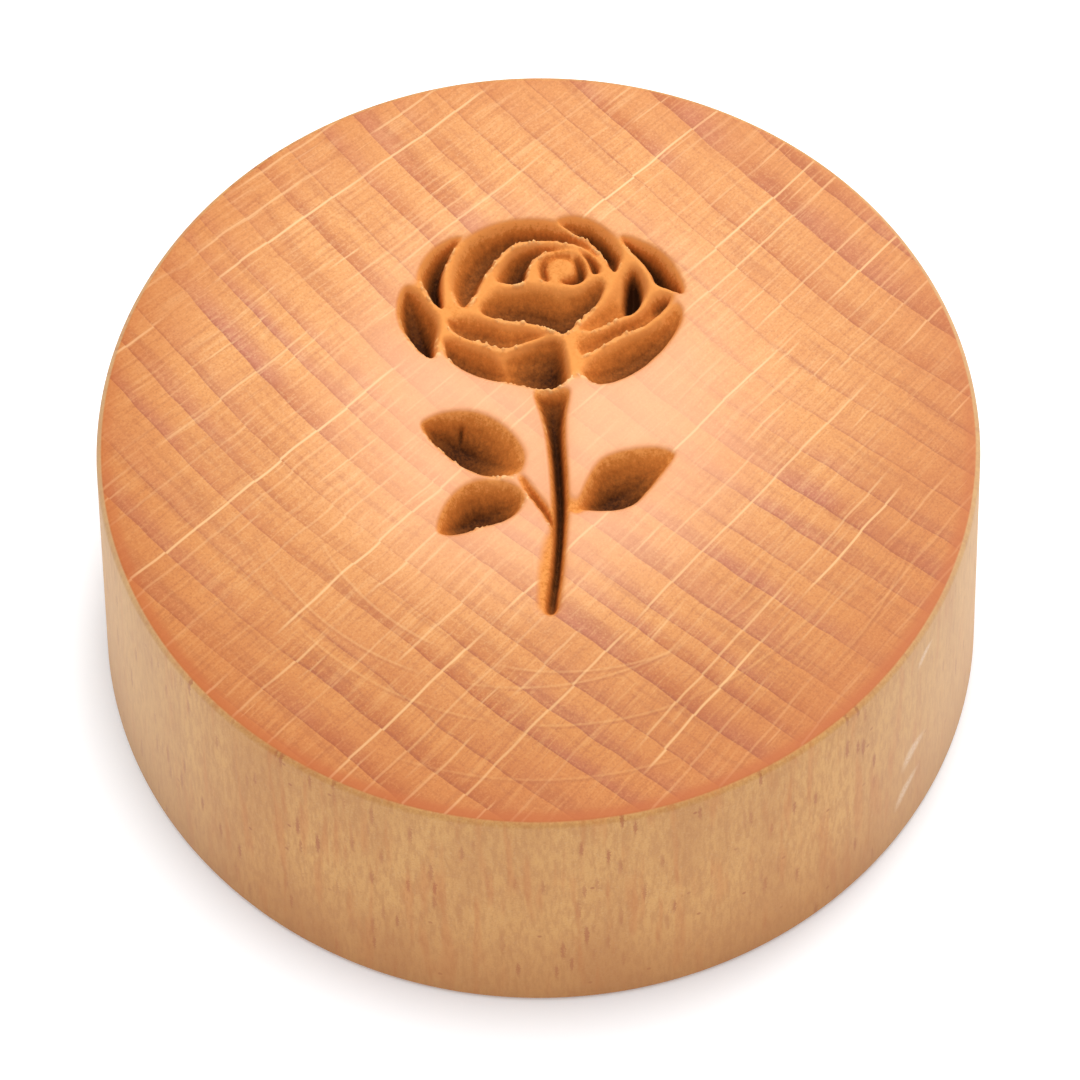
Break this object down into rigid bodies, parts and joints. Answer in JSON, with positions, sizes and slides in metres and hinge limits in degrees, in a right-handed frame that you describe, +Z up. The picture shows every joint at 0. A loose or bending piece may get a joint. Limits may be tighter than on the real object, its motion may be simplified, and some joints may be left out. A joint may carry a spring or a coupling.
{
  "type": "butter mold",
  "caption": "Round turned beech butter mold: a squat solid block with a rose on a leafy stem carved into its flat upper face, which prints a raised rose on butter.",
  "frame": {"origin": "centre of the flat base, on the surface that the block stands on", "axes": "+Z up through the carved face, +Y towards the top of the bloom, -Y towards the foot of its stem, +X to the right of the upright rose"},
  "size_m": [0.06, 0.06, 0.0236],
  "materials": {
    "beech": "oiled"
  },
  "bodies": {
    "root": {"block": "beech"}
  },
  "joints": []
}
